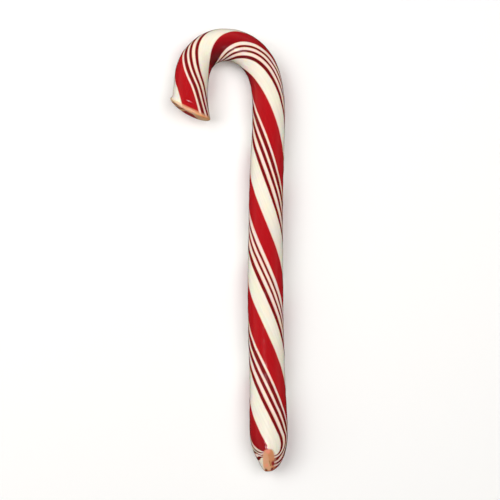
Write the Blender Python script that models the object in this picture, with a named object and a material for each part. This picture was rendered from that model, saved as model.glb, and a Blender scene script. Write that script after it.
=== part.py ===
"""A candy cane lying on its side: one rod of pulled sugar, pinched off at its foot, wound with
red and cream stripes, and bent into a hook that ends in a slanting cut.

Lengths are in millimetres until the mesh is made in metres. Z is up. The shaft runs along Y and
the hook turns towards -X. A station is a distance along the rod's centreline from its pinched
foot. An angle round the rod is 0 on its upper side and grows towards the right of the way the
rod travels, from the foot to the hook. A column is a line of the surface that winds with the
stripes, named by its angle at the foot.
"""

import math

import bmesh
import bpy
import numpy as np

MM = 0.001
UP = np.array([0.0, 0.0, 1.0])

LENGTH = 216.5  # from the foot's tip to the middle of the hook's cut, along the centreline
SETTLE = 0.35  # how much of the round section is flattened where the soft rod lay on the table

# (station, degrees from +X that the rod points to)
HEADING = (
    (0, 93),
    (14, 92),
    (24, 91),
    (46, 92),
    (76, 90),
    (104, 89.5),
    (126, 87.5),
    (140, 88),
    (152, 93),
    (160, 105),
    (168, 126),
    (176, 154),
    (184, 185),
    (192, 219),
    (199, 249),
    (206, 268),
    (LENGTH, 263),
)
# (station, diameter of the rod)
WIDTH = (
    (0, 15.5),
    (22, 15.4),
    (34, 14.5),
    (80, 14.4),
    (100, 13.95),
    (130, 13.6),
    (160, 12.9),
    (180, 13.0),
    (192, 13.3),
    (200, 13.9),
    (LENGTH, 14.2),
)
# (station, degrees round the rod that the stripes turn in each millimetre)
TWIST = (
    (0, 2.28),
    (20, 3.95),
    (60, 3.79),
    (80, 4.1),
    (118, 3.73),
    (150, 4.0),
    (165, 3.21),
    (188, 7.41),
    (196, 6.66),
    (206, 5.33),
    (LENGTH, 3.6),
)
# (station, degrees that lying down drew the stripes apart at the rod's sides)
SPREAD = ((0, 0.9), (120, 2.8), (150, 1.0), (LENGTH, -0.8))
# (station, degrees that handling and bending pushed the stripes over on the rod's sides)
SKEW = ((0, -1.9), (145, -1.3), (165, 0.8), (180, 7.4), (192, 8.2), (200, -7.8), (207, -9.3), (LENGTH, 0.2))
ROUNDING = 5.0  # reach over which the corners of the profiles above are rounded off
STEP = 0.25  # between the points that the profiles are added up over

# (colour, degrees round the rod, columns of faces), two sets of stripes round the rod
STRIPES = (
    ("red", 12.0, 1),
    ("cream", 14.0, 1),
    ("red", 11.5, 1),
    ("cream", 10.0, 1),
    ("red", 14.0, 1),
    ("cream", 9.5, 1),
    ("red", 58.5, 4),
    ("cream", 53.5, 4),
    ("red", 12.5, 1),
    ("cream", 13.0, 1),
    ("red", 8.0, 1),
    ("cream", 11.0, 1),
    ("red", 8.0, 1),
    ("cream", 14.0, 1),
    ("red", 54.0, 4),
    ("cream", 56.5, 4),
)
FIRST_STRIPE = 77.4  # column of the first stripe's first edge
DRAG = 2.2  # how far the stripes on its sides, and twice that underneath, trail towards -Y

# The pinched foot: its taper ends in a small slanting face, pinched through to the core.
TAPER = 16.0  # station where the rod has its full width
FACE_SLOPE = math.radians(31)  # between the face and the rod
FACE_WIDTH = 4.8
FACE_RUN = 10.0  # along the rod
FACE_SQUARENESS = 0.66  # power of the sine and cosine round its rim: 1 is an ellipse
FACE_SHIFT = -0.5  # the face lies left of the centreline
FACE_SKEW = 0.2  # and leans, so that its upper end lies this far right of its middle
FACE_DEPTH = 0.3  # of its upper end under the top of the rod
FACE_RIDGE = 0.35  # height of the ridge along its middle
FOOT_BLUNTNESS = 0.66
FOOT_SHOULDER = 0.6
FOOT_LEFT_TAPER = 0.7  # how much less blunt the foot is on its left
FOOT_LEFT_SHOULDER = 0.3  # how much farther its shoulder reaches there
FOOT_SWELL = 2.1  # how far the underside rounds out past the face
# (degrees round the rod, degrees that the pinch pulled the stripes round the face's rim there)
GATHER = (
    (-166, 10),
    (-137, 30),
    (-121, 35),
    (-108, 25),
    (-93, 14),
    (-78, 2),
    (-56, -3),
    (-33, -14.5),
    (-8, -26),
    (19, -23),
    (45, 6),
    (60, 11),
    (71, 5),
    (83, -2),
    (96, -8.5),
    (130, -22),
    (138, -18),
)
GATHER_ROUNDING = 6.0  # degrees over which those knots are rounded off
GATHER_FADE = 2.1  # power by which the pull fades along the taper, above and below
GATHER_SIDES = 1.0  # how much less that power is on the sides, where the pull reaches farther

# The hook's end: a slanting cut, a little spread at its rim, whose face bulges.
CUT_SLANT = math.radians(20.5)
CUT_LEAN = 2.4  # how much farther the cut runs on the rod's lower side
CUT_CROWN = 0.8  # and on its upper side
CUT_ROLL = 1.8  # how strongly its upper edge is rolled over onto the face
CUT_REACH = 9.0  # length of rod over which its rings turn into the slant of the cut
CUT_BULGE = 0.7
OUTER_FLARE = (0.9, 3.5)  # how far the rim spreads on that side, and over what length of rod
INNER_FLARE = (2.0, 8.0)

# Rings of faces: how many make the foot, how far apart they are on the shaft and in the bend,
# and where they lie between the last round ring (0) and the cut (1), and on the cut's face.
FOOT_RINGS = 9
SHAFT_RING = 2.7
BEND_START = 148.0
BEND_RINGS = 29
CUT_RINGS = (0.3, 0.55, 0.77, 0.9, 1.0)
FACE_SIZES = (0.94, 0.82, 0.6, 0.3)

COLOURS = {
    "cream": (0.93, 0.89, 0.78),
    "red": (0.50, 0.010, 0.016),
    "core": (0.60, 0.30, 0.14),
}
ROUGHNESS = {"cream": 0.25, "red": 0.2, "core": 0.45}


def smoothed(knots, stations):
    """Values at the stations: straight runs between the knots, with their corners rounded off."""
    places, values = zip(*knots)
    reach = np.linspace(-0.9, 0.9, 13)
    weights = np.cos(reach * math.pi / 2) ** 2
    shifted = [np.interp(stations + shift * ROUNDING, places, values) for shift in reach]
    return np.average(shifted, axis=0, weights=weights)


def added_up(rates):
    """Running total of a rate given at every STEP, starting from 0."""
    middles = (rates[1:] + rates[:-1]) / 2
    return np.concatenate([[0.0], np.cumsum(middles)]) * STEP


class Rod:
    """The centreline, radius and twist of the rod. Stations come as a column, one to a ring."""

    def __init__(self):
        self.stations = np.arange(0, LENGTH + 2 * STEP, STEP)
        self.heading = np.radians(smoothed(HEADING, self.stations))
        self.x = added_up(np.cos(self.heading))
        self.y = added_up(np.sin(self.heading))
        self.width = smoothed(WIDTH, self.stations)
        self.turn = added_up(smoothed(TWIST, self.stations))
        self.spread = np.radians(smoothed(SPREAD, self.stations))
        self.skew = np.radians(smoothed(SKEW, self.stations))

    def at(self, values, station):
        return np.interp(station, self.stations, values)

    def radius(self, station):
        return self.at(self.width, station) / 2

    def frame(self, station):
        """Centre of the section, and its travel and right directions."""
        heading = self.at(self.heading, station)
        height = self.radius(station) - SETTLE
        centre = np.stack([self.at(self.x, station), self.at(self.y, station), height], axis=-1)
        level = np.zeros_like(heading)
        travel = np.stack([np.cos(heading), np.sin(heading), level], axis=-1)
        right = np.stack([np.sin(heading), -np.cos(heading), level], axis=-1)
        return centre, travel, right

    def angles(self, columns, station):
        """Angle round the rod, in radians, at which each column crosses the station."""
        turned = np.radians(columns - self.at(self.turn, station))
        ahead = DRAG * np.sin(self.at(self.heading, station)) * (1 - np.cos(turned))
        turned = np.radians(columns - self.at(self.turn, station + ahead))
        apart = self.at(self.spread, station) * np.sin(2 * turned)
        return turned - apart + self.at(self.skew, station) * np.sin(turned)


def outward(angle, right):
    """Direction away from the centreline at an angle round the rod."""
    return np.sin(angle)[..., None] * right + np.cos(angle)[..., None] * UP


def round_rings(rod, station, columns):
    """Rings of the round rod."""
    centre, _, right = rod.frame(station)
    return centre + rod.radius(station)[..., None] * outward(rod.angles(columns, station), right)


def gathered(angle, share):
    """The angles after that share of the pinch's pull on the stripes."""
    places, pulls = zip(*GATHER)
    reach = np.linspace(-1, 1, 9) * GATHER_ROUNDING
    degrees = np.degrees(angle)
    pull = np.mean([np.interp(degrees + shift, places, pulls, period=360) for shift in reach], axis=0)
    return angle + np.radians(pull) * share


def foot_face(rod, angle, size=1.0):
    """Points of the foot's slanting face: its rim is at size 1 and its middle at size 0."""
    centre, travel, right = rod.frame(0.0)
    across = np.sign(np.sin(angle)) * np.abs(np.sin(angle)) ** FACE_SQUARENESS * size
    along = np.sign(np.cos(angle)) * np.abs(np.cos(angle)) ** FACE_SQUARENESS * size
    ridge = FACE_RIDGE * (1 - np.abs(across)) * (1 - size**4)
    run = FACE_RUN / 2 * (1 + along)
    height = 2 * rod.radius(0.0) - SETTLE - FACE_DEPTH
    height = height - (FACE_RUN - run) * math.tan(FACE_SLOPE) + ridge
    side = FACE_SHIFT + FACE_SKEW * along + FACE_WIDTH / 2 * across
    point = centre + run[..., None] * travel + side[..., None] * right
    point[..., 2] = height
    return point


def foot_rings(rod, progress, columns):
    """Rings of the foot's taper, from the rim of its face (progress 0) to the round rod (1)."""
    angle = rod.angles(columns, TAPER * progress)
    sides = GATHER_SIDES * np.abs(np.sin(angle))
    angle = gathered(angle, (1 - progress ** (1 + sides)) ** (GATHER_FADE - sides))
    centre, travel, right = rod.frame(TAPER)
    away = outward(angle, right)
    start = foot_face(rod, angle)
    end = centre + rod.radius(TAPER) * away
    rise = np.clip(np.sum((end - start) * away, axis=-1, keepdims=True), 0, None)
    run = np.sum((end - start) * travel, axis=-1, keepdims=True)
    leftward = np.clip(-np.sin(angle), 0, None)[..., None]
    downward = np.clip(-np.cos(angle), 0, None)[..., None]
    bluntness = FOOT_BLUNTNESS - FOOT_LEFT_TAPER * leftward
    first = start + rise * bluntness * away - travel * FOOT_SWELL * downward**3
    second = end - run * (FOOT_SHOULDER + FOOT_LEFT_SHOULDER * leftward) * travel
    done = progress[..., None]
    left = 1 - done
    return (
        start * left**3
        + first * 3 * left**2 * done
        + second * 3 * left * done**2
        + end * done**3
    )


def flare(angle, to_go):
    """How far the rim of the cut spreads, where so much rod is still to go."""
    spread = np.zeros_like(angle)
    for side, (most, over) in ((1, OUTER_FLARE), (-1, INNER_FLARE)):
        sideways = np.clip(side * np.sin(angle), 0, None)
        spread = spread + most * sideways**2 * np.clip(1 - to_go / over, 0, None) ** 2
    return spread


def cut_rings(rod, progress, size, columns):
    """Rings from the last round one (progress 0) to the cut (1).

    On the cut's face, size runs from 1 at the rim to 0 in the middle.
    """
    to_go = CUT_REACH * (1 - progress)
    station = LENGTH - to_go
    angle = rod.angles(columns, station)
    centre, travel, right = rod.frame(station)
    radius = rod.radius(station) + flare(angle, to_go)
    slant = -radius * np.sin(angle) * math.tan(CUT_SLANT)
    upper = np.clip(np.cos(angle), 0, None)
    lean = CUT_LEAN * np.clip(-np.cos(angle), 0, None) + CUT_CROWN * upper
    roll = CUT_ROLL * upper * size**2 * (1 - size**8)
    reach = progress * (slant + lean) * size + CUT_BULGE * (1 - size**2) + roll
    return centre + (radius * size)[..., None] * outward(angle, right) + reach[..., None] * travel


def stripe_columns():
    """The columns of faces round the rod, and the colour of the faces that follow each."""
    columns, colours = [], []
    edge = FIRST_STRIPE
    for colour, width, count in STRIPES:
        columns += [edge + width * i / count for i in range(count)]
        colours += [colour] * count
        edge += width
    return np.array(columns), colours


def as_column(values):
    return np.array(values, dtype=float)[:, None]


def surface_rings(rod, columns):
    """All rings of points, from the rim of the foot's face to the last one on the cut's face."""
    bend_end = LENGTH - CUT_REACH
    stations = [
        *np.arange(TAPER, BEND_START, SHAFT_RING),
        *np.linspace(BEND_START, bend_end, BEND_RINGS),
    ]
    whole = np.ones(len(CUT_RINGS))
    parts = [
        foot_rings(rod, as_column(np.arange(FOOT_RINGS) / FOOT_RINGS), columns),
        round_rings(rod, as_column(stations), columns),
        cut_rings(rod, as_column(CUT_RINGS), as_column(whole), columns),
        cut_rings(rod, as_column(np.ones(len(FACE_SIZES))), as_column(FACE_SIZES), columns),
    ]
    return np.concatenate(parts)


def placed(rings, foot_middle, cut_middle):
    """The points flattened onto the table, with the footprint centred on the origin."""
    points = np.concatenate([rings.reshape(-1, 3), [foot_middle, cut_middle]])
    points[:, 2] = np.clip(points[:, 2], 0, None)
    middle = (points.min(axis=0) + points.max(axis=0)) / 2
    points -= [middle[0], middle[1], 0.0]
    return points


def material(name):
    made = bpy.data.materials.new(name)
    made.use_nodes = True
    shader = made.node_tree.nodes["Principled BSDF"]
    shader.inputs["Base Color"].default_value = (*COLOURS[name], 1.0)
    shader.inputs["Roughness"].default_value = ROUGHNESS[name]
    shader.inputs["Metallic"].default_value = 0.0
    return made


def cane_mesh():
    rod = Rod()
    columns, colours = stripe_columns()
    rings = surface_rings(rod, columns)
    foot_middle = foot_face(rod, np.array(0.0), 0.0)
    cut_middle = cut_rings(rod, as_column([1.0]), as_column([0.0]), columns)[0, 0]
    points = placed(rings, foot_middle, cut_middle)

    mesh = bmesh.new()
    corners = [mesh.verts.new(point * MM) for point in points]
    *on_rings, foot_middle, cut_middle = corners
    count = len(columns)
    loops = [on_rings[start : start + count] for start in range(0, len(on_rings), count)]
    slots = list(COLOURS)
    for i, colour in enumerate(colours):
        following = (i + 1) % count
        for lower, upper in zip(loops, loops[1:]):
            face = mesh.faces.new((lower[i], upper[i], upper[following], lower[following]))
            face.material_index = slots.index(colour)
        foot = mesh.faces.new((loops[0][i], loops[0][following], foot_middle))
        foot.material_index = slots.index("core")
        cut = mesh.faces.new((loops[-1][following], loops[-1][i], cut_middle))
        cut.material_index = slots.index(colour)
    bmesh.ops.recalc_face_normals(mesh, faces=mesh.faces)

    data = bpy.data.meshes.new("candy_cane")
    mesh.to_mesh(data)
    mesh.free()
    for name in slots:
        data.materials.append(material(name))
    data.shade_smooth()
    return data


def main():
    for obj in list(bpy.data.objects):
        bpy.data.objects.remove(obj)
    cane = bpy.data.objects.new("candy_cane", cane_mesh())
    bpy.context.scene.collection.objects.link(cane)


if __name__ == "__main__":
    main()
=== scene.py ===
"""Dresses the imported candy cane: pulled sugar wound with red stripes, bared at its pinched foot
and drawn over its slanting cut, lying on a pale table under soft lamps.

The rod is worked out as in part.py, from the same named sizes and functions, with finer rings.
Lengths are in millimetres until the mesh is made in metres. A station is a distance along the
rod's centreline from its pinched foot. An angle round the rod is 0 on its upper side and grows
towards the right of the way the rod travels, from the foot to the hook. A column is a line of the
surface that winds with the stripes, named by its angle at the foot.
"""

import math

import bpy
import mathutils
import numpy as np
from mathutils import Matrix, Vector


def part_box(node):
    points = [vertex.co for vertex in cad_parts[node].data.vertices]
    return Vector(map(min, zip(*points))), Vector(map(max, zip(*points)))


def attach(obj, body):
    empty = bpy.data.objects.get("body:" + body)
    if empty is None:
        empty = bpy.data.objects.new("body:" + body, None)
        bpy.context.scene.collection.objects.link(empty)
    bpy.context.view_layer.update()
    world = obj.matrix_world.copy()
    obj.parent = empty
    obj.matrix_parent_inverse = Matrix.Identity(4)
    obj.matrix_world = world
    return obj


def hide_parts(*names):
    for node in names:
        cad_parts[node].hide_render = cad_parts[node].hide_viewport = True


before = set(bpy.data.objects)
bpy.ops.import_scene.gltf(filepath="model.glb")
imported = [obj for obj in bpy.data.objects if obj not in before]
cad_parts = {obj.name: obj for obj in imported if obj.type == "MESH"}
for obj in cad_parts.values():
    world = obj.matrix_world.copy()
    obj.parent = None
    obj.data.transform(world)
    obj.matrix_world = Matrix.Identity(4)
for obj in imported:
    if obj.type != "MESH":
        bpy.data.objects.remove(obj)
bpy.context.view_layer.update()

MM = 0.001
UP = np.array([0.0, 0.0, 1.0])

# ---------------------------------------------------------------- the rod, as in part.py

LENGTH = 216.5  # from the foot's tip to the middle of the hook's cut, along the centreline
SETTLE = 0.35  # how much of the round section is flattened where the soft rod lay on the table

# (station, degrees from +X that the rod points to)
HEADING = (
    (0, 93),
    (14, 92),
    (24, 91),
    (46, 92),
    (76, 90),
    (104, 89.5),
    (126, 87.5),
    (140, 88),
    (152, 93),
    (160, 105),
    (168, 126),
    (176, 154),
    (184, 185),
    (192, 219),
    (199, 249),
    (206, 268),
    (LENGTH, 263),
)
# (station, diameter of the rod)
WIDTH = (
    (0, 15.5),
    (22, 15.4),
    (34, 14.5),
    (80, 14.4),
    (100, 13.95),
    (130, 13.6),
    (160, 12.9),
    (180, 13.0),
    (192, 13.3),
    (200, 13.9),
    (LENGTH, 14.2),
)
# (station, degrees round the rod that the stripes turn in each millimetre)
TWIST = (
    (0, 2.28),
    (20, 3.95),
    (60, 3.79),
    (80, 4.1),
    (118, 3.73),
    (150, 4.0),
    (165, 3.21),
    (188, 7.41),
    (196, 6.66),
    (206, 5.33),
    (LENGTH, 3.6),
)
# (station, degrees that lying down drew the stripes apart at the rod's sides)
SPREAD = ((0, 0.9), (120, 2.8), (150, 1.0), (LENGTH, -0.8))
# (station, degrees that handling and bending pushed the stripes over on the rod's sides)
SKEW = (
    (0, -1.9),
    (145, -1.3),
    (165, 0.8),
    (180, 7.4),
    (192, 8.2),
    (200, -7.8),
    (207, -9.3),
    (LENGTH, 0.2),
)
ROUNDING = 5.0  # reach over which the corners of the profiles above are rounded off
STEP = 0.25  # between the points that the profiles are added up over

# (colour, degrees round the rod), two sets of stripes round the rod
STRIPES = (
    ("red", 12.0),
    ("cream", 14.0),
    ("red", 11.5),
    ("cream", 10.0),
    ("red", 14.0),
    ("cream", 9.5),
    ("red", 58.5),
    ("cream", 53.5),
    ("red", 12.5),
    ("cream", 13.0),
    ("red", 8.0),
    ("cream", 11.0),
    ("red", 8.0),
    ("cream", 14.0),
    ("red", 54.0),
    ("cream", 56.5),
)
FIRST_STRIPE = 77.4  # column of the first stripe's first edge
DRAG = 2.2  # how far the stripes on its sides, and twice that underneath, trail towards -Y

# The pinched foot: its taper ends in a small slanting face, pinched through to the core.
TAPER = 16.0  # station where the rod has its full width
FACE_SLOPE = math.radians(31)  # between the face and the rod
FACE_WIDTH = 4.8
FACE_RUN = 10.0  # along the rod
FACE_SQUARENESS = 0.66  # power of the sine and cosine round its rim: 1 is an ellipse
FACE_SHIFT = -0.5  # the face lies left of the centreline
FACE_SKEW = 0.2  # and leans, so that its upper end lies this far right of its middle
FACE_DEPTH = 0.3  # of its upper end under the top of the rod
FACE_RIDGE = 0.35  # height of the ridge along its middle
FOOT_BLUNTNESS = 0.66
FOOT_SHOULDER = 0.6
FOOT_LEFT_TAPER = 0.7  # how much less blunt the foot is on its left
FOOT_LEFT_SHOULDER = 0.3  # how much farther its shoulder reaches there
FOOT_SWELL = 2.1  # how far the underside rounds out past the face
# (degrees round the rod, degrees that the pinch pulled the stripes round the face's rim there)
GATHER = (
    (-166, 10),
    (-137, 30),
    (-121, 35),
    (-108, 25),
    (-93, 14),
    (-78, 2),
    (-56, -3),
    (-33, -14.5),
    (-8, -26),
    (19, -23),
    (45, 6),
    (60, 11),
    (71, 5),
    (83, -2),
    (96, -8.5),
    (130, -22),
    (138, -18),
)
GATHER_ROUNDING = 6.0  # degrees over which those knots are rounded off
GATHER_FADE = 2.1  # power by which the pull fades along the taper, above and below
GATHER_SIDES = 1.0  # how much less that power is on the sides, where the pull reaches farther

# The hook's end: a slanting cut, a little spread at its rim, whose face bulges.
CUT_SLANT = math.radians(20.5)
CUT_LEAN = 2.4  # how much farther the cut runs on the rod's lower side
CUT_CROWN = 0.8  # and on its upper side
CUT_ROLL = 1.8  # how strongly its upper edge is rolled over onto the face
CUT_REACH = 9.0  # length of rod over which its rings turn into the slant of the cut
CUT_BULGE = 0.7
OUTER_FLARE = (0.9, 3.5)  # how far the rim spreads on that side, and over what length of rod
INNER_FLARE = (2.0, 8.0)
BEND_START = 148.0

# ---------------------------------------------------------------- the finer surface

WIDE = 30.0  # a stripe of more degrees than this is a wide one
CELL = 2.1  # degrees between columns
SEAM = FIRST_STRIPE - STRIPES[-1][1] / 2  # the seam runs up the middle of the last stripe
OUTSIDE, FOOT, CUT = 0, 1, 2  # the materials' places in the mesh
FOOT_RINGS = 36
SHAFT_RING = 0.62
BEND_RING = 0.5
CUT_RINGS = 26
FACE_RINGS = 16

RED_PROUD = 0.03  # the red strips stand this far out of the cream
VALLEY = 0.035  # depth of the groove where two strips meet
VALLEY_WIDTH = 1.3  # in degrees
WAVER = 0.09  # how far the hand-pulled rod strays from its true width
# (turns in each millimetre along the rod, waves round it, where they start)
WAVES = ((0.031, 2, 0.4), (0.067, 1, 2.1), (0.113, 3, 4.0), (0.19, 2, 5.2))
DRAWN = 0.012  # height of the fine ridges drawn out along the stripes
# (ridges round the rod, where they start, how far they drift in each millimetre)
RIDGES = ((31, 0.3, 0.011), (47, 1.9, -0.007), (73, 3.7, 0.004))

# The dent pressed into the hook near its cut.
DENT_STATION = 1.6  # from the cut's middle, along the rod
DENT_ANGLE = math.radians(-3)
DENT_HALF = (2.3, 0.5)  # across the rod and along it
DENT_DEPTH = 0.3
DENT_SLANT = 0.22  # how far it runs along the rod for each millimetre across it
DENT_LIP = 0.35  # height of its lip, as a share of its depth
DENT_THICK = 2.5  # how far above and below it the surface moves


def smoothed(knots, stations):
    """Values at the stations: straight runs between the knots, with their corners rounded off."""
    places, values = zip(*knots)
    reach = np.linspace(-0.9, 0.9, 13)
    weights = np.cos(reach * math.pi / 2) ** 2
    shifted = [np.interp(stations + shift * ROUNDING, places, values) for shift in reach]
    return np.average(shifted, axis=0, weights=weights)


def added_up(rates):
    """Running total of a rate given at every STEP, starting from 0."""
    middles = (rates[1:] + rates[:-1]) / 2
    return np.concatenate([[0.0], np.cumsum(middles)]) * STEP


class Rod:
    """The centreline, radius and twist of the rod. Stations come as a column, one to a ring."""

    def __init__(self):
        self.stations = np.arange(0, LENGTH + 2 * STEP, STEP)
        self.heading = np.radians(smoothed(HEADING, self.stations))
        self.x = added_up(np.cos(self.heading))
        self.y = added_up(np.sin(self.heading))
        self.width = smoothed(WIDTH, self.stations)
        self.turn = added_up(smoothed(TWIST, self.stations))
        self.spread = np.radians(smoothed(SPREAD, self.stations))
        self.skew = np.radians(smoothed(SKEW, self.stations))

    def at(self, values, station):
        return np.interp(station, self.stations, values)

    def radius(self, station):
        return self.at(self.width, station) / 2

    def frame(self, station):
        """Centre of the section, and its travel and right directions."""
        heading = self.at(self.heading, station)
        height = self.radius(station) - SETTLE
        centre = np.stack([self.at(self.x, station), self.at(self.y, station), height], axis=-1)
        level = np.zeros_like(heading)
        travel = np.stack([np.cos(heading), np.sin(heading), level], axis=-1)
        right = np.stack([np.sin(heading), -np.cos(heading), level], axis=-1)
        return centre, travel, right

    def angles(self, columns, station):
        """Angle round the rod, in radians, at which each column crosses the station."""
        turned = np.radians(columns - self.at(self.turn, station))
        ahead = DRAG * np.sin(self.at(self.heading, station)) * (1 - np.cos(turned))
        turned = np.radians(columns - self.at(self.turn, station + ahead))
        apart = self.at(self.spread, station) * np.sin(2 * turned)
        return turned - apart + self.at(self.skew, station) * np.sin(turned)


def outward(angle, right):
    """Direction away from the centreline at an angle round the rod."""
    return np.sin(angle)[..., None] * right + np.cos(angle)[..., None] * UP


def stripe_edges():
    """The column of each stripe's first edge, its width and its colour."""
    edge, found = FIRST_STRIPE, []
    for colour, width in STRIPES:
        found.append((edge, width, colour))
        edge += width
    return found


def columns_round():
    """The columns of the fine surface, from the seam. Each stripe's edges are columns."""
    columns = []
    for edge, width, _ in stripe_edges():
        count = max(4, round(width / CELL))
        if edge + width > SEAM + 360:  # the last stripe, which the seam splits
            count = 2 * round(count / 2)
        columns += [edge + width * i / count for i in range(count)]
    columns = np.array(columns)
    columns = np.where(columns >= SEAM + 360 - 1e-9, columns - 360, columns)
    return np.sort(columns)


def bump(x):
    """A rounded hump: 1 at 0 and nothing from 1 on."""
    return np.clip(1 - np.square(x), 0, None) ** 2


def relief(columns, station):
    """How far the surface stands off the round rod, at each column of each ring."""
    total = np.zeros(np.broadcast_shapes(columns.shape, station.shape))
    for edge, width, colour in stripe_edges():
        across = (columns - edge + 180) % 360 - 180
        beyond = (columns - edge - width + 180) % 360 - 180
        if colour == "red":
            inside = ((columns - edge) % 360) / width
            rise = RED_PROUD * (1 - np.clip(2 * inside - 1, -1, 1) ** 8) * (inside <= 1)
            total = total + rise
        total = total - VALLEY / 2 * (bump(across / VALLEY_WIDTH) + bump(beyond / VALLEY_WIDTH))
    turn = np.radians(columns)
    for rate, times, start in WAVES:
        wave = np.sin(2 * math.pi * rate * station + times * turn + start)
        total = total + WAVER / len(WAVES) * wave
    for times, start, drift in RIDGES:
        total = total + DRAWN / len(RIDGES) * np.sin(times * turn + start + drift * station)
    return total


def dented(points, rod):
    """The points with the dent pressed in, a short crease across the rod with a raised lip."""
    station = LENGTH - DENT_STATION
    centre, travel, right = rod.frame(np.array([station]))
    middle = centre[0] + rod.radius(station) * outward(np.array([DENT_ANGLE]), right)[0]
    offset = points - middle
    across = offset @ right[0]
    along = offset @ travel[0] + DENT_SLANT * across
    near = bump(np.clip(offset[..., 2] / DENT_THICK, -1, 1))
    crease = bump(np.clip(across / DENT_HALF[0], -1, 1))
    floor = np.exp(-np.square(along / DENT_HALF[1]))
    lip = np.exp(-np.square((along - 1.8 * DENT_HALF[1]) / DENT_HALF[1]))
    points = points.copy()
    points[..., 2] += DENT_DEPTH * near * crease * (DENT_LIP * lip - floor)
    return points


def round_rings(rod, station, columns):
    centre, _, right = rod.frame(station)
    radius = rod.radius(station) + relief(columns, station)
    return centre + radius[..., None] * outward(rod.angles(columns, station), right)


def gathered(angle, share):
    """The angles after that share of the pinch's pull on the stripes."""
    places, pulls = zip(*GATHER)
    reach = np.linspace(-1, 1, 9) * GATHER_ROUNDING
    degrees = np.degrees(angle)
    shifted = [np.interp(degrees + shift, places, pulls, period=360) for shift in reach]
    return angle + np.radians(np.mean(shifted, axis=0)) * share


def foot_face(rod, angle, size=1.0):
    """Points of the foot's slanting face: its rim is at size 1 and its middle at size 0."""
    centre, travel, right = rod.frame(0.0)
    across = np.sign(np.sin(angle)) * np.abs(np.sin(angle)) ** FACE_SQUARENESS * size
    along = np.sign(np.cos(angle)) * np.abs(np.cos(angle)) ** FACE_SQUARENESS * size
    ridge = FACE_RIDGE * (1 - np.abs(across)) * (1 - size**4)
    run = FACE_RUN / 2 * (1 + along)
    height = 2 * rod.radius(0.0) - SETTLE - FACE_DEPTH
    height = height - (FACE_RUN - run) * math.tan(FACE_SLOPE) + ridge
    side = FACE_SHIFT + FACE_SKEW * along + FACE_WIDTH / 2 * across
    point = centre + run[..., None] * travel + side[..., None] * right
    point[..., 2] = height
    return point


def foot_rings(rod, progress, columns):
    """Rings of the foot's taper, from the rim of its face (progress 0) to the round rod (1)."""
    station = TAPER * progress
    angle = rod.angles(columns, station)
    sides = GATHER_SIDES * np.abs(np.sin(angle))
    angle = gathered(angle, (1 - progress ** (1 + sides)) ** (GATHER_FADE - sides))
    centre, travel, right = rod.frame(TAPER)
    away = outward(angle, right)
    start = foot_face(rod, angle)
    end = centre + rod.radius(TAPER) * away
    rise = np.clip(np.sum((end - start) * away, axis=-1, keepdims=True), 0, None)
    run = np.sum((end - start) * travel, axis=-1, keepdims=True)
    leftward = np.clip(-np.sin(angle), 0, None)[..., None]
    downward = np.clip(-np.cos(angle), 0, None)[..., None]
    bluntness = FOOT_BLUNTNESS - FOOT_LEFT_TAPER * leftward
    first = start + rise * bluntness * away - travel * FOOT_SWELL * downward**3
    second = end - run * (FOOT_SHOULDER + FOOT_LEFT_SHOULDER * leftward) * travel
    done = progress[..., None]
    left = 1 - done
    rings = (
        start * left**3
        + first * 3 * left**2 * done
        + second * 3 * left * done**2
        + end * done**3
    )
    return rings + (relief(columns, station) * progress)[..., None] * away


def flare(angle, to_go):
    """How far the rim of the cut spreads, where so much rod is still to go."""
    spread = np.zeros_like(angle)
    for side, (most, over) in ((1, OUTER_FLARE), (-1, INNER_FLARE)):
        sideways = np.clip(side * np.sin(angle), 0, None)
        spread = spread + most * sideways**2 * np.clip(1 - to_go / over, 0, None) ** 2
    return spread


def cut_rings(rod, progress, size, columns):
    """Rings from the last round one (progress 0) to the cut (1).

    On the cut's face, size runs from 1 at the rim to 0 in the middle.
    """
    to_go = CUT_REACH * (1 - progress)
    station = LENGTH - to_go
    angle = rod.angles(columns, station)
    centre, travel, right = rod.frame(station)
    radius = rod.radius(station) + flare(angle, to_go) + relief(columns, station)
    slant = -radius * np.sin(angle) * math.tan(CUT_SLANT)
    upper = np.clip(np.cos(angle), 0, None)
    lean = CUT_LEAN * np.clip(-np.cos(angle), 0, None) + CUT_CROWN * upper
    roll = CUT_ROLL * upper * size**2 * (1 - size**8)
    reach = progress * (slant + lean) * size + CUT_BULGE * (1 - size**2) + roll
    return centre + (radius * size)[..., None] * outward(angle, right) + reach[..., None] * travel


def as_column(values):
    return np.array(values, dtype=float)[:, None]


def surface(rod, columns):
    """Rings of points from the foot's middle to the cut's, with the v and the material of each."""
    sizes = np.linspace(0, 1, FACE_RINGS + 1)[1:]
    progress = np.linspace(0, 1, FOOT_RINGS + 1)[:-1] ** 1.3
    bend_end = LENGTH - CUT_REACH
    shaft = np.linspace(TAPER, BEND_START, round((BEND_START - TAPER) / SHAFT_RING))[:-1]
    bend = np.linspace(BEND_START, bend_end, round((bend_end - BEND_START) / BEND_RING))
    stations = np.concatenate([shaft, bend])
    closing = np.linspace(0, 1, CUT_RINGS + 1)[1:]
    foot_angle = gathered(rod.angles(columns, np.zeros((1, 1))), 1.0)
    inner = sizes[:-1]
    return [
        (foot_face(rod, np.repeat(foot_angle, len(inner), 0), as_column(inner)), inner, FOOT),
        (foot_rings(rod, as_column(progress), columns), TAPER * progress / LENGTH, OUTSIDE),
        (round_rings(rod, as_column(stations), columns), stations / LENGTH, OUTSIDE),
        (
            cut_rings(rod, as_column(closing), as_column(np.ones(CUT_RINGS)), columns),
            (LENGTH - CUT_REACH * (1 - closing)) / LENGTH,
            OUTSIDE,
        ),
        (
            cut_rings(rod, as_column(np.ones(len(inner))), as_column(inner[::-1]), columns),
            inner[::-1],
            CUT,
        ),
    ]


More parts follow.
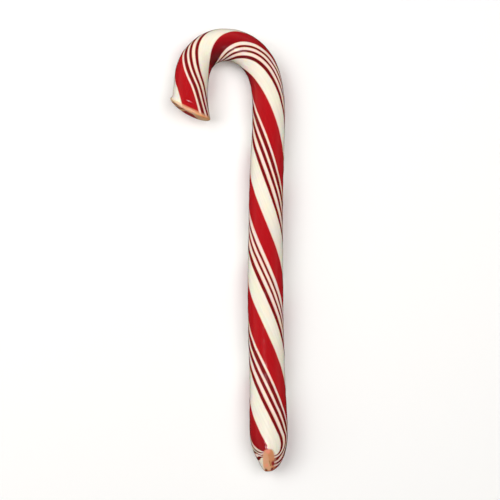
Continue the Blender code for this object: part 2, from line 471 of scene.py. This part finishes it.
def end_places(rod, columns, sizes, total):
    """Where each point lies on its end face, from -1 to 1: to its right, and up it.

    The sizes are those of the rings inside the rim, from the foot's middle outwards.
    """
    foot = gathered(rod.angles(columns, np.zeros((1, 1))), 1.0)[0]
    cut = rod.angles(columns, np.full((1, 1), LENGTH))[0]
    squared = [np.sign(f) * np.abs(f) ** FACE_SQUARENESS for f in (np.sin(foot), np.cos(foot))]
    to_rim = np.append(sizes, 1.0)[:, None, None]
    places = np.zeros((total, len(columns), 2))
    places[: len(to_rim)] = to_rim * np.stack(squared, axis=-1)
    places[-len(to_rim) :] = to_rim[::-1] * np.stack([np.sin(cut), np.cos(cut)], axis=-1)
    return places


def cane_object(materials):
    """The whole cane as one closed mesh."""
    rod = Rod()
    columns = columns_round()
    count = len(columns)
    parts = surface(rod, columns)
    rings = np.concatenate([points for points, _, _ in parts])
    rings = dented(rings, rod)
    foot_middle = foot_face(rod, np.array(0.0), 0.0)
    cut_middle = cut_rings(rod, as_column([1.0]), as_column([0.0]), columns)[0, 0]
    points = np.concatenate([rings.reshape(-1, 3), [foot_middle, cut_middle]])
    points[:, 2] = np.clip(points[:, 2], 0, None)
    low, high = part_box("candy_cane")
    middle = (points.min(axis=0) + points.max(axis=0)) / 2
    points -= [middle[0], middle[1], 0.0]
    points *= MM
    points += [(low.x + high.x) / 2, (low.y + high.y) / 2, low.z]

    total = len(rings)
    kinds = np.concatenate([np.full(len(v), kind) for _, v, kind in parts])
    heights = np.concatenate([v for _, v, _ in parts])
    around = np.append((columns - SEAM) / 360, 1.0)
    spots = end_places(rod, columns, parts[0][1], total)
    faces, slots, maps, ends = [], [], [], []
    for ring in range(total - 1):
        kind = max(kinds[ring], kinds[ring + 1], key=lambda k: k != OUTSIDE)
        low_v, high_v = heights[ring], heights[ring + 1]
        if kind == FOOT and kinds[ring + 1] == OUTSIDE:
            high_v = 1.0
        if kind == CUT and kinds[ring] == OUTSIDE:
            low_v = 1.0
        for i in range(count):
            j = (i + 1) % count
            a, b = ring * count, (ring + 1) * count
            faces.append((a + i, b + i, b + j, a + j))
            slots.append(kind)
            u, w = around[i], around[i + 1]
            maps += [(u, low_v), (u, high_v), (w, high_v), (w, low_v)]
            ends += [spots[ring, i], spots[ring + 1, i], spots[ring + 1, j], spots[ring, j]]
    last = (total - 1) * count
    foot, cut = total * count, total * count + 1
    for i in range(count):
        j = (i + 1) % count
        u, w = around[i], around[i + 1]
        faces += [(i, j, foot), (last + j, last + i, cut)]
        slots += [FOOT, CUT]
        maps += [(u, heights[0]), (w, heights[0]), ((u + w) / 2, 0.0)]
        maps += [(w, heights[-1]), (u, heights[-1]), ((u + w) / 2, 0.0)]
        ends += [spots[0, i], spots[0, j], (0.0, 0.0), spots[-1, j], spots[-1, i], (0.0, 0.0)]

    mesh = bpy.data.meshes.new("pulled_sugar")
    mesh.from_pydata(points.tolist(), [], faces)
    for material in materials:
        mesh.materials.append(material)
    mesh.polygons.foreach_set("material_index", slots)
    for name, values in (("stripes", maps), ("end_face", ends)):
        layer = mesh.uv_layers.new(name=name)
        layer.uv.foreach_set("vector", np.array(values, dtype=np.float32).ravel())
    mesh.update()
    mesh.shade_smooth()
    cane = bpy.data.objects.new("pulled_sugar", mesh)
    bpy.context.scene.collection.objects.link(cane)
    return cane


# ---------------------------------------------------------------- materials

# Colours of the sugar: the wide stripes, the thin ones, and the painted glow of red light
# scattered through the sugar into the cream beside the red.
CREAM = (0.92, 0.865, 0.75)
THIN_CREAM = (0.96, 0.79, 0.71)
RED_GLOW = (0.86, 0.50, 0.40)
RED = (0.49, 0.006, 0.011)
THIN_RED = (0.23, 0.003, 0.006)
# Its core, as it shows at the foot's rim, on the two sides of the foot's ridge (made lighter there
# as painted light), and at the cut.
CORE = (0.64, 0.36, 0.20)
LIT_LEFT_CORE = (0.86, 0.49, 0.29)
LIT_RIGHT_CORE = (0.80, 0.35, 0.17)
ORANGE_CORE = (0.93, 0.42, 0.18)
CUT_RIM = (0.80, 0.46, 0.25)
CRACK = (0.42, 0.19, 0.05)
DRAWN_SKIN_SHADE = (0.86, 0.56, 0.34)  # painted shade that darkens and warms the stripes of the skin where the blade drew it thin
# (place on the foot's face in mm: to its right and up it, radius, colour) of its red stains and,
# at its lower corners, of two dark spots of painted shade
FOOT_STAINS_AND_SHADE = (
    ((-0.8, -2.1), 1.0, (0.90, 0.38, 0.23)),
    ((-0.4, 3.6), 1.6, (0.93, 0.35, 0.24)),
    ((-1.2, -4.2), 1.0, (0.12, 0.06, 0.02)),
    ((1.6, -3.9), 1.1, (0.13, 0.01, 0.01)),
    ((2.1, -1.4), 1.5, (0.32, 0.01, 0.015)),
)
EDGE_SOFT = 0.45  # degrees over which red turns to cream
RED_GLOW_WIDTH = 3.0  # degrees of cream that the painted glow of scattered red light covers
RADIUS = 7.2  # of the rod, in the coordinates that the noises read
CUT_HALF = 6.8  # half the cut's width, in those that its colours read

# Painted shade darkens the red on the inside of the crook, and the red is made darker towards the
# foot.
CROOK_MIDDLE = (0.0015, 0.061, 0.0)  # this and the next in metres, as an object's coordinates are
CROOK_REACH = (0.029, 0.0165)  # distances from its middle between which the painted shade darkens the red
CROOK_START = (150.0, 172.0)  # stations between which that begins
CROOK_END = (202.0, 192.0)  # and those between which it ends
FOOT_DARKENING_REACH = (34.0, 6.0)  # distances from the foot between which the red is made darker
FOOT_DARKENING_SHARE = 0.38  # as a share of the crook's
# the red is multiplied by this for the painted shade in the crook and the darkening by the foot
CROOK_SHADE_AND_DARKER_FOOT = (0.24, 0.24, 0.40)


class Nodes:
    """A material's node tree, filled by short calls."""

    def __init__(self, name):
        self.material = bpy.data.materials.new(name)
        self.material.use_nodes = True
        self.tree = self.material.node_tree
        self.shader = self.tree.nodes["Principled BSDF"]

    def put(self, value, socket):
        if isinstance(value, bpy.types.NodeSocket):
            self.tree.links.new(value, socket)
        elif value is not None:
            socket.default_value = value

    def add(self, kind, inputs=(), output=0, **settings):
        node = self.tree.nodes.new("ShaderNode" + kind)
        for name, value in settings.items():
            setattr(node, name, value)
        for socket, value in dict(inputs).items():
            self.put(value, node.inputs[socket])
        return node.outputs[output]

    def math(self, operation, a, b=None, c=None, clamp=False):
        return self.add("Math", {0: a, 1: b, 2: c}, operation=operation, use_clamp=clamp)

    def step(self, value, low, high):
        """0 below low and 1 above high, with a smooth rise between."""
        inputs = {"Value": value, "From Min": low, "From Max": high}
        return self.add("MapRange", inputs, interpolation_type="SMOOTHSTEP")

    def mix(self, share, a, b, blend="MIX"):
        node = self.tree.nodes.new("ShaderNodeMix")
        node.data_type = "RGBA"
        node.blend_type = blend
        node.clamp_factor = True
        self.put(share, node.inputs[0])
        for socket, value in ((node.inputs[6], a), (node.inputs[7], b)):
            self.put((*value, 1.0) if isinstance(value, tuple) else value, socket)
        return node.outputs[2]

    def noise(self, vector, scale, detail=2.0, roughness=0.5):
        inputs = {"Vector": vector, "Scale": scale, "Detail": detail, "Roughness": roughness}
        return self.add("TexNoise", inputs)

    def stretched(self, vector, scale):
        inputs = {0: vector, 1: scale}
        return self.add("VectorMath", inputs, operation="MULTIPLY")


def stripe_stops():
    """(place from 0 to 1, colour) of the stripes round the rod, starting at the seam."""
    stops = []
    for edge, width, colour in stripe_edges():
        start, end = edge - SEAM, edge + width - SEAM
        wide = width > WIDE
        if colour == "red":
            inside = RED if wide else THIN_RED
            stops += [(start + EDGE_SOFT, inside), (end - EDGE_SOFT, inside)]
        else:
            inside = CREAM if wide else THIN_CREAM
            # the cream's edges take the painted glow of red light scattered from the red beside
            # them
            glow_width = RED_GLOW_WIDTH if wide else min(RED_GLOW_WIDTH, 0.3 * width)
            stops += [(start + EDGE_SOFT, RED_GLOW), (start + glow_width, inside)]
            stops += [(end - glow_width, inside), (end - EDGE_SOFT, RED_GLOW)]
    stops = [(place % 360 / 360, colour) for place, colour in stops]
    return sorted(stops)


def set_stops(elements, stops):
    while len(elements) > 1:
        elements.remove(elements[-1])
    elements[0].position = stops[0][0]
    elements[0].color = (*stops[0][1], 1.0)
    for place, colour in stops[1:]:
        elements.new(place).color = (*colour, 1.0)


def ramp(nodes, value, stops):
    """A colour ramp through these stops."""
    output = nodes.add("ValToRGB", {0: value})
    set_stops(output.node.color_ramp.elements, stops)
    return output


def stripe_colour(nodes, around):
    """The stripes' colours, as two ramps, because a ramp holds only 32 stops."""
    stops = stripe_stops()
    first = [s for s in stops if s[0] < 0.5]
    second = [s for s in stops if s[0] >= 0.5]
    low = ramp(nodes, nodes.math("MULTIPLY", around, 2.0), [(p * 2, c) for p, c in first])
    high_value = nodes.math("MULTIPLY_ADD", around, 2.0, -1.0)
    high = ramp(nodes, high_value, [(p * 2 - 1, c) for p, c in second])
    return nodes.mix(nodes.math("GREATER_THAN", around, 0.5), low, high)


def surface_coordinates(nodes):
    """(u, v, a point in millimetres whose third axis runs along the stripes).

    On an end face v is the size, from 0 in its middle to 1 at its rim.
    """
    split = nodes.add("SeparateXYZ", {0: nodes.add("UVMap", uv_map="stripes")}).node.outputs
    u, v = split[0], split[1]
    turn = nodes.math("MULTIPLY", u, 2 * math.pi)
    x = nodes.math("MULTIPLY", nodes.math("COSINE", turn), RADIUS)
    y = nodes.math("MULTIPLY", nodes.math("SINE", turn), RADIUS)
    z = nodes.math("MULTIPLY", v, LENGTH)
    return u, v, nodes.add("CombineXYZ", {0: x, 1: y, 2: z})


def wavering(nodes, u, point):
    """u with the slow waver of hand-laid stripes."""
    slow = nodes.noise(nodes.stretched(point, (1.0, 1.0, 0.25)), 0.22, 1.0)
    fine = nodes.noise(nodes.stretched(point, (1.0, 1.0, 0.35)), 1.1, 1.0)
    shift = nodes.math("MULTIPLY_ADD", slow, 2.0 / 360, -1.0 / 360)
    shift = nodes.math("ADD", shift, nodes.math("MULTIPLY_ADD", fine, 1.2 / 360, -0.6 / 360))
    return nodes.math("ADD", u, shift)


def finish_shader(nodes, colour, roughness, height, distance):
    shader = nodes.shader
    nodes.put(colour, shader.inputs["Base Color"])
    nodes.put(roughness, shader.inputs["Roughness"])
    bumped = nodes.add("Bump", {"Height": height, "Distance": distance, "Strength": 0.6})
    nodes.put(bumped, shader.inputs["Normal"])
    shader.inputs["Specular IOR Level"].default_value = 0.2
    shader.inputs["Subsurface Weight"].default_value = 0.7
    shader.inputs["Subsurface Radius"].default_value = (1.0, 0.5, 0.2)
    shader.inputs["Subsurface Scale"].default_value = 0.002
    shader.inputs["Coat Weight"].default_value = 0.9
    shader.inputs["Coat Roughness"].default_value = 0.16
    return nodes.material


def crook_shade_and_darker_foot(nodes, colour, v):
    """How much painted shade darkens the red inside the crook, and how much darker the red is made
    by the foot: the wide red most, the thin ones less, the cream not at all.
    """
    flat = nodes.stretched(nodes.add("TexCoord", output="Object"), (1.0, 1.0, 0.0))
    away = nodes.add("VectorMath", {0: flat, 1: CROOK_MIDDLE}, output=1, operation="DISTANCE")
    red, green, _ = nodes.add("SeparateColor", {0: colour}).node.outputs
    crook = nodes.step(away, *CROOK_REACH)
    for low, high in (CROOK_START, CROOK_END):
        crook = nodes.math("MULTIPLY", crook, nodes.step(v, low / LENGTH, high / LENGTH))
    foot = nodes.step(v, FOOT_DARKENING_REACH[0] / LENGTH, FOOT_DARKENING_REACH[1] / LENGTH)
    share = nodes.math("MULTIPLY_ADD", foot, FOOT_DARKENING_SHARE, crook)
    share = nodes.math("MULTIPLY", share, nodes.step(green, 0.2, 0.02))
    return nodes.math("MULTIPLY", share, nodes.step(red, 0.1, 0.4))


def outside_material():
    """Pulled sugar with its stripes, fine drawn streaks and soft gloss."""
    nodes = Nodes("pulled_sugar_stripes")
    u, v, point = surface_coordinates(nodes)
    colour = stripe_colour(nodes, wavering(nodes, u, point))
    streaks = nodes.noise(nodes.stretched(point, (1.0, 1.0, 0.035)), 1.7, 4.0, 0.6)
    clouds = nodes.noise(nodes.stretched(point, (1.0, 1.0, 0.4)), 0.16, 2.0)
    levels = {"Value": streaks, "From Min": 0.3, "From Max": 0.7, "To Min": 0.93, "To Max": 1.04}
    shade = nodes.add("MapRange", levels)
    shade = nodes.add("CombineColor", {0: shade, 1: shade, 2: shade})
    colour = nodes.mix(1.0, colour, shade, "MULTIPLY")
    yellow = nodes.math("MULTIPLY", nodes.step(clouds, 0.45, 0.75), 0.5)
    colour = nodes.mix(yellow, colour, (0.97, 0.985, 0.90), "MULTIPLY")
    # painted shade inside the crook, and darker red towards the foot
    colour = nodes.mix(crook_shade_and_darker_foot(nodes, colour, v), colour, CROOK_SHADE_AND_DARKER_FOOT, "MULTIPLY")
    foot = nodes.step(v, 1.6 / LENGTH, 0.0)
    colour = nodes.mix(nodes.math("MULTIPLY", foot, 0.55), colour, CORE)
    end = nodes.step(v, 1 - 0.9 / LENGTH, 1 - 0.2 / LENGTH)
    colour = nodes.mix(nodes.math("MULTIPLY", end, 0.7), colour, CUT_RIM)
    grain = nodes.noise(point, 3.5, 3.0)
    roughness = nodes.math("MULTIPLY_ADD", streaks, 0.14, 0.16)
    height = nodes.math("MULTIPLY_ADD", grain, 0.35, streaks)
    return finish_shader(nodes, colour, roughness, height, 0.00004)


def end_place(nodes, half_sizes, grain):
    """A point of an end face in millimetres from its middle, blurred by the sugar's grain."""
    place = nodes.stretched(nodes.add("UVMap", uv_map="end_face"), (*half_sizes, 0.0))
    shift = nodes.math("MULTIPLY_ADD", grain, 0.9, -0.45)
    moved = nodes.add("VectorMath", {0: place, 1: shift}, operation="ADD")
    return moved, nodes.add("SeparateXYZ", {0: moved}).node.outputs


def spot(nodes, place, middle, radius):
    """1 near a point of the end face, falling to 0 at the radius from it."""
    away = nodes.add("VectorMath", {0: place, 1: (*middle, 0.0)}, output=1, operation="DISTANCE")
    return nodes.step(away, radius, 0.35 * radius)


def foot_material():
    """The bared core of the pinched foot, lightened by painted light, with a crack along its
    ridge, stains at its ends and painted shade at its lower corners.
    """
    nodes = Nodes("bared_core")
    u, size, _ = surface_coordinates(nodes)
    grain = nodes.noise(nodes.add("TexCoord", output="Object"), 900.0, 4.0, 0.6)
    place, (right, up, _) = end_place(nodes, (FACE_WIDTH / 2, FACE_RUN * 0.45), grain)
    off_ridge = nodes.math("ADD", right, nodes.math("MULTIPLY_ADD", up, 0.27, -0.2))
    # the core's colours on the face are lighter than at the rim: partly its own colour, partly
    # painted light on a face that the lamps leave dim
    colour = nodes.mix(nodes.step(off_ridge, -0.5, 0.5), LIT_LEFT_CORE, LIT_RIGHT_CORE)
    mottled = nodes.mix(grain, (0.86, 0.80, 0.74), (1.0, 1.0, 1.0))
    colour = nodes.mix(1.0, colour, mottled, "MULTIPLY")
    near_ridge = nodes.step(nodes.math("ABSOLUTE", off_ridge), 0.32, 0.05)
    cracked = nodes.math("MULTIPLY", nodes.step(up, -2.6, -2.0), nodes.step(up, 0.1, -0.5))
    colour = nodes.mix(nodes.math("MULTIPLY", near_ridge, cracked), colour, CRACK)
    # red stains, and the two dark spots of painted shade at the face's lower corners
    for middle, radius, spot_colour in FOOT_STAINS_AND_SHADE:
        colour = nodes.mix(spot(nodes, place, middle, radius), colour, spot_colour)
    rim = nodes.math("MULTIPLY", nodes.step(size, 0.86, 1.0), 0.6)
    colour = nodes.mix(rim, colour, stripe_colour(nodes, u))
    roughness = nodes.math("MULTIPLY_ADD", grain, 0.2, 0.3)
    return finish_shader(nodes, colour, roughness, grain, 0.0001)


def cut_material():
    """The cut: its core shows above, lightened by painted light, and the blade drew the lower skin
    up over it, darkened by painted shade.
    """
    nodes = Nodes("cut_end")
    u, size, _ = surface_coordinates(nodes)
    grain = nodes.noise(nodes.add("TexCoord", output="Object"), 900.0, 4.0, 0.6)
    _, (right, up, _) = end_place(nodes, (CUT_HALF, CUT_HALF), grain)
    stripes = stripe_colour(nodes, u)
    # the core's colours are made light: partly its own colour, partly painted light on a face
    # turned away from the lamps
    core = nodes.mix(grain, (0.84, 0.50, 0.30), (0.96, 0.64, 0.42))
    core = nodes.mix(0.14, core, stripes)
    colour = nodes.mix(nodes.step(right, -1.5, -5.0), core, ORANGE_CORE)
    drawn = nodes.math("MULTIPLY", nodes.step(up, -0.5, -2.5), nodes.step(size, 0.25, 0.5))
    # the drawn skin's stripes, darkened and warmed by painted shade
    colour = nodes.mix(drawn, colour, nodes.mix(1.0, stripes, DRAWN_SKIN_SHADE, "MULTIPLY"))
    roughness = nodes.math("MULTIPLY_ADD", grain, 0.2, 0.28)
    return finish_shader(nodes, colour, roughness, grain, 0.0001)


# ---------------------------------------------------------------- table, light and camera

CAMERA_HEIGHT = 0.573
VIEW_MIDDLE = (0.0086, -0.00005)  # what the camera stands over
LENS, SENSOR = 100.0, 36.0
# (height, colour) of the sky: dark below the table's level, palest low down, dim overhead
SKY = ((0.01, (0.03, 0.03, 0.03)), (0.12, (0.25, 0.24, 0.22)), (0.85, (0.05, 0.05, 0.05)))
LAMPS_AWAY = 0.9
# (name, direction from the middle of the table, side, power, colour, mirrored by the sugar)
LAMPS = (
    ("key", (-0.45, 0.26, 0.85), 0.6, 4.4, (1.0, 0.99, 0.97), False),
    ("fill", (0.36, 0.12, 0.92), 0.6, 4.9, (1.0, 0.98, 0.96), False),
    ("left", (-0.80, 0.0, 0.60), 0.6, 1.5, (1.0, 0.99, 0.97), False),
    ("glint", (-0.22, -0.36, 0.90), 0.24, 1.4, (0.97, 0.96, 1.0), True),
)
FLOOR_SIDE = 3.0
FLOOR = (0.95, 0.95, 0.95)


def floor_object():
    half = FLOOR_SIDE / 2
    mesh = bpy.data.meshes.new("table")
    corners = [(-half, -half, 0), (half, -half, 0), (half, half, 0), (-half, half, 0)]
    mesh.from_pydata(corners, [], [(0, 1, 2, 3)])
    nodes = Nodes("pale_table")
    nodes.shader.inputs["Base Color"].default_value = (*FLOOR, 1.0)
    nodes.shader.inputs["Roughness"].default_value = 0.7
    nodes.shader.inputs["Specular IOR Level"].default_value = 0.2
    mesh.materials.append(nodes.material)
    table = bpy.data.objects.new("table", mesh)
    table.visible_glossy = False
    bpy.context.scene.collection.objects.link(table)
    return table


def aimed(obj, place, target):
    """Puts a camera or light at a place, looking at a target."""
    obj.location = place
    look = mathutils.Vector(target) - mathutils.Vector(place)
    obj.rotation_euler = look.to_track_quat("-Z", "Y").to_euler()
    bpy.context.scene.collection.objects.link(obj)
    return obj


def soft_light(name, direction, side, power, colour, mirrored):
    lamp = bpy.data.lights.new(name, "AREA")
    lamp.shape = "SQUARE"
    lamp.size = side
    lamp.energy = power
    lamp.color = colour
    place = np.array(direction) / np.linalg.norm(direction) * LAMPS_AWAY
    placed = aimed(bpy.data.objects.new(name, lamp), place, (0, 0, 0))
    placed.visible_glossy = mirrored
    placed.visible_diffuse = not mirrored
    return placed


def sky():
    """Pale near the horizon and dim overhead, so that the sugar's top mirrors little."""
    world = bpy.data.worlds.new("studio")
    bpy.context.scene.world = world
    world.use_nodes = True
    tree = world.node_tree
    direction = tree.nodes.new("ShaderNodeTexCoord")
    split = tree.nodes.new("ShaderNodeSeparateXYZ")
    tone = tree.nodes.new("ShaderNodeValToRGB")
    tree.links.new(direction.outputs["Generated"], split.inputs[0])
    tree.links.new(split.outputs["Z"], tone.inputs[0])
    tree.links.new(tone.outputs[0], tree.nodes["Background"].inputs[0])
    set_stops(tone.color_ramp.elements, SKY)


cane = cane_object([outside_material(), foot_material(), cut_material()])
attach(cane, "root")
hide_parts("candy_cane")
floor_object()

for lamp in LAMPS:
    soft_light(*lamp)
sky()

camera = bpy.data.cameras.new("camera")
camera.lens = LENS
camera.sensor_width = SENSOR
x, y = VIEW_MIDDLE
bpy.context.scene.camera = aimed(
    bpy.data.objects.new("camera", camera), (x, y, CAMERA_HEIGHT), (x, y, 0)
)
bpy.context.scene.view_settings.view_transform = "Standard"
